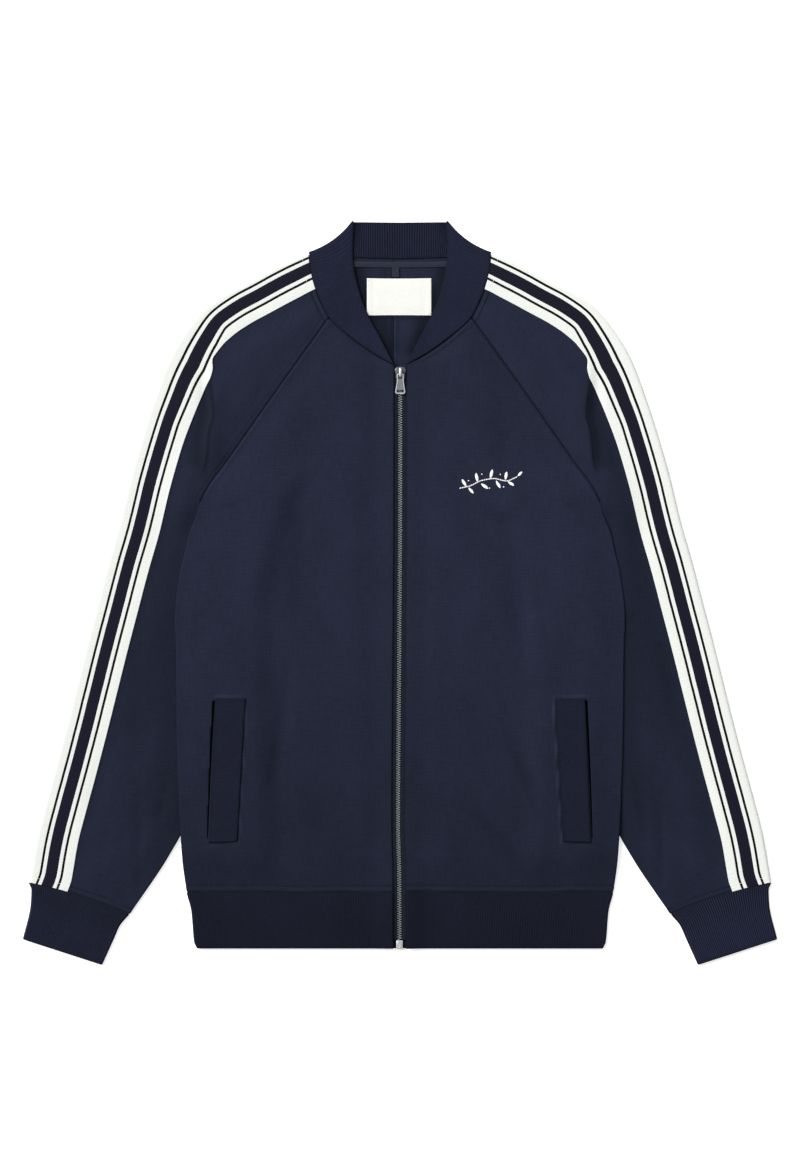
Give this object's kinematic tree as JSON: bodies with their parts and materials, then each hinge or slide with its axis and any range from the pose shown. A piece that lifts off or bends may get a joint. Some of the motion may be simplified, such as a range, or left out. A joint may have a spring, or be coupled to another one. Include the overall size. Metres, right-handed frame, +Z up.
{
  "type": "track jacket",
  "caption": "Long-sleeved zip-front jacket in dark knit with raglan sleeves, rib collar, cuffs and hem, striped sleeve tapes and two welt pockets, laid flat on its back.",
  "frame": {"origin": "on the surface the jacket lies on, below the middle of its bounding box", "axes": "+Z up from the surface, through the thickness; +Y from the hem to the collar; +X to the wearer's left, across both sleeves"},
  "size_m": [0.7762, 0.7666, 0.0089],
  "materials": {
    "jersey": "dark navy double-knit jersey, matt, with fine cross texture",
    "rib": "dark navy rib knit, matt",
    "striped_tape": "knitted tape in cream, black and navy stripes",
    "neck_tape": "navy woven tape",
    "label": "ivory woven satin, blank",
    "zip_tape": "near-black woven zip tape",
    "zip_metal": "antique silver, satin",
    "embroidery": "white satin-stitch thread"
  },
  "bodies": {
    "jacket": {"front_left": "jersey", "front_right": "jersey", "back_left": "jersey", "back_right": "jersey", "sleeve_left": "jersey", "sleeve_right": "jersey", "sleeve_tape_left": "striped_tape", "sleeve_tape_right": "striped_tape", "cuff_left": "rib", "cuff_right": "rib", "collar": "rib", "hem_rib": "rib", "pocket_welt_left": "rib", "pocket_welt_right": "rib", "neck_tape": "neck_tape", "hanger_loop": "neck_tape", "neck_label": "label", "zip_tape_left": "zip_tape", "zip_tape_right": "zip_tape", "zip_teeth": "zip_metal", "zip_box": "zip_metal", "zip_slider": "zip_metal"},
    "pull_tab": {"zip_pull": "zip_metal"}
  },
  "joints": [
    {"name": "pull_tab_hinge", "type": "hinge", "parent": "jacket", "child": "pull_tab", "pos_m": [0.0003, 0.224, 0.00685], "axis": [-1, 0, 0], "range_deg": [0, 140]}
  ]
}
